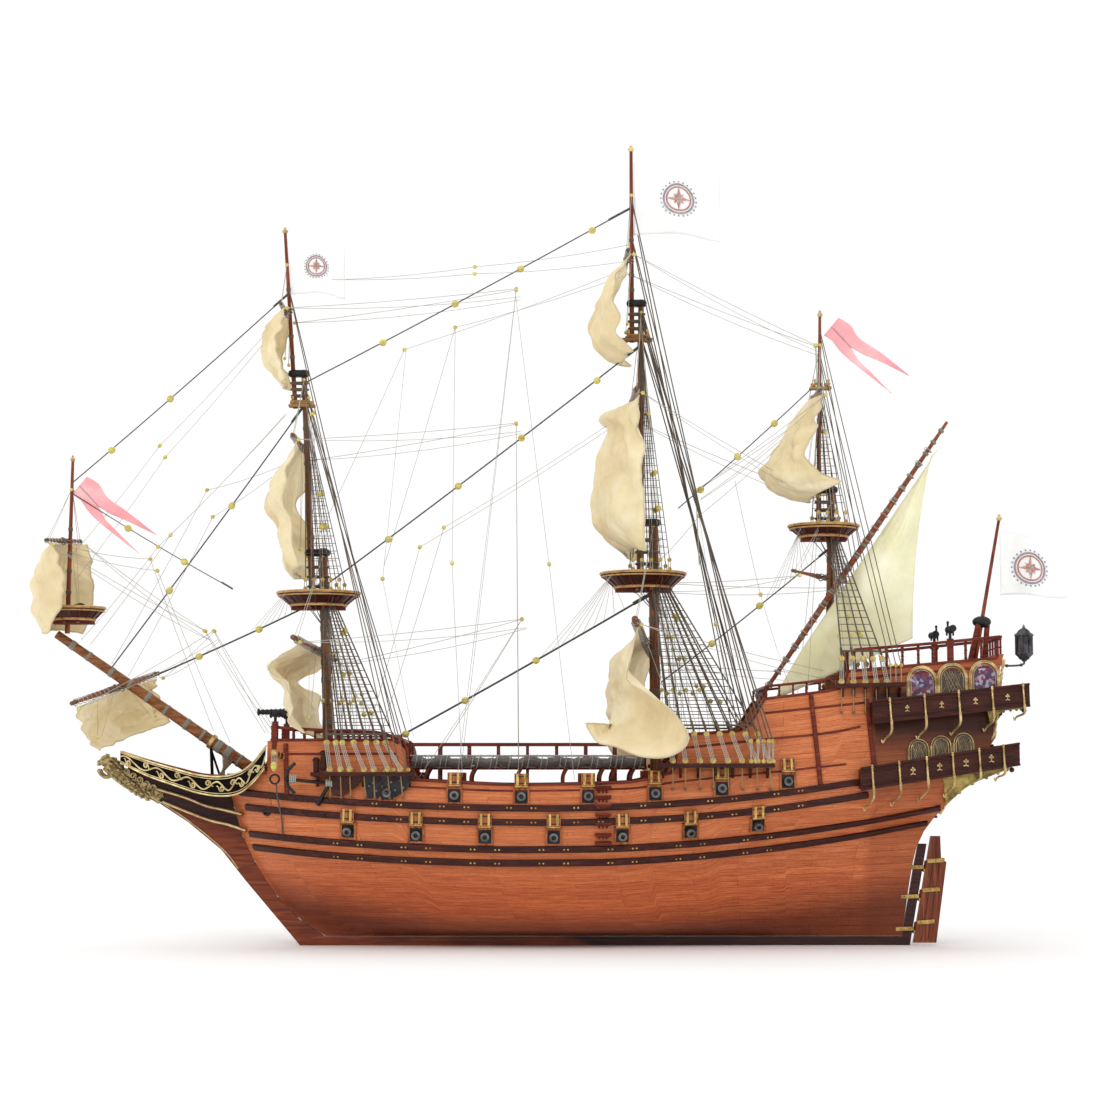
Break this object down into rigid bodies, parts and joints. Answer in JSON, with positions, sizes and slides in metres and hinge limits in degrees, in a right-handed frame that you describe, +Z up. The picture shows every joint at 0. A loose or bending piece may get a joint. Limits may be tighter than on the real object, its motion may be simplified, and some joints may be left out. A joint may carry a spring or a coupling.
{
  "type": "model sailing ship",
  "caption": "Three-masted wooden galleon model with planked hull, decks, head, stern galleries, masts, yards, sails and a hung rudder.",
  "frame": {"origin": "on the underside of the keel, on the centre plane, midway between the stem foot and the sternpost foot", "axes": "+X aft, +Y to starboard, +Z up from the keel"},
  "size_m": [0.6922, 0.235, 0.531],
  "materials": {
    "hull_wood": "satin varnish",
    "deck_wood": "matt varnish",
    "dark_wood": "satin varnish",
    "rudder_wood": "satin varnish",
    "spar_wood": "satin varnish",
    "top_wood": "matt",
    "canvas": "woven cotton",
    "flag_cloth": "thin white cotton",
    "pennant_cloth": "thin dyed cotton",
    "cordage": "laid thread",
    "gilding": "antique gilt",
    "black_metal": "blackened",
    "pewter": "dull grey casting",
    "boxwood": "bare wood"
  },
  "bodies": {
    "ship": {"fore_course": "canvas", "fore_topsail": "canvas", "fore_topgallant_sail": "canvas", "main_course": "canvas", "main_topsail": "canvas", "main_topgallant_sail": "canvas", "mizzen_topsail": "canvas", "spritsail": "canvas", "sprit_topsail": "canvas", "lateen_sail": "canvas", "stern_ensign": "flag_cloth", "fore_course_yard": "spar_wood", "fore_topsail_yard": "spar_wood", "fore_topgallant_yard": "spar_wood", "main_course_yard": "spar_wood", "main_topsail_yard": "spar_wood", "main_topgallant_yard": "spar_wood", "crossjack_yard": "spar_wood", "mizzen_topsail_yard": "spar_wood", "spritsail_yard": "spar_wood", "sprit_topsail_yard": "spar_wood", "lateen_yard": "spar_wood", "foremast": "spar_wood", "fore_topmast": "spar_wood", "fore_topgallant_mast": "spar_wood", "mainmast": "spar_wood", "main_topmast": "spar_wood", "main_topgallant_mast": "spar_wood", "mizzenmast": "spar_wood", "mizzen_topmast": "spar_wood", "bowsprit": "spar_wood", "sprit_topmast": "spar_wood", "ensign_staff": "spar_wood", "sprit_top": "top_wood", "fore_top": "top_wood", "main_top": "top_wood", "mizzen_top": "top_wood", "keel": "dark_wood", "hull_planking": "hull_wood", "main_deck": "deck_wood", "forecastle_deck": "deck_wood", "quarterdeck": "deck_wood", "poop_deck": "deck_wood", "waist_gangway": "dark_wood", "beakhead": "dark_wood", "figurehead": "gilding", "lower_gallery": "dark_wood", "upper_gallery": "dark_wood", "stern_lantern": "pewter", "fore_channel_port": "dark_wood", "main_channel_port": "dark_wood", "anchor_port": "black_metal", "fore_channel_starboard": "dark_wood", "main_channel_starboard": "dark_wood", "anchor_starboard": "black_metal"},
    "rudder": {"rudder": "rudder_wood"},
    "bow_gun_port": {"bow_swivel_port": "black_metal"},
    "bow_gun_starboard": {"bow_swivel_starboard": "black_metal"},
    "poop_gun_port": {"poop_swivel_port": "black_metal"},
    "poop_gun_starboard": {"poop_swivel_starboard": "black_metal"}
  },
  "joints": [
    {"name": "rudder_swing", "type": "hinge", "parent": "ship", "child": "rudder", "pos_m": [0.2036, 0, 0.03], "axis": [0.1772, 0, 0.9842], "range_deg": [-35, 35]},
    {"name": "bow_gun_port_turn", "type": "hinge", "parent": "ship", "child": "bow_gun_port", "pos_m": [-0.217, -0.0365, 0.148], "axis": [0, 0, 1], "range_deg": [-90, 90]},
    {"name": "bow_gun_starboard_turn", "type": "hinge", "parent": "ship", "child": "bow_gun_starboard", "pos_m": [-0.217, 0.0365, 0.148], "axis": [0, 0, 1], "range_deg": [-90, 90]},
    {"name": "poop_gun_port_turn", "type": "hinge", "parent": "ship", "child": "poop_gun_port", "pos_m": [0.221, -0.031, 0.202], "axis": [0, 0, 1], "range_deg": [-90, 90]},
    {"name": "poop_gun_starboard_turn", "type": "hinge", "parent": "ship", "child": "poop_gun_starboard", "pos_m": [0.221, 0.031, 0.202], "axis": [0, 0, 1], "range_deg": [-90, 90]}
  ]
}
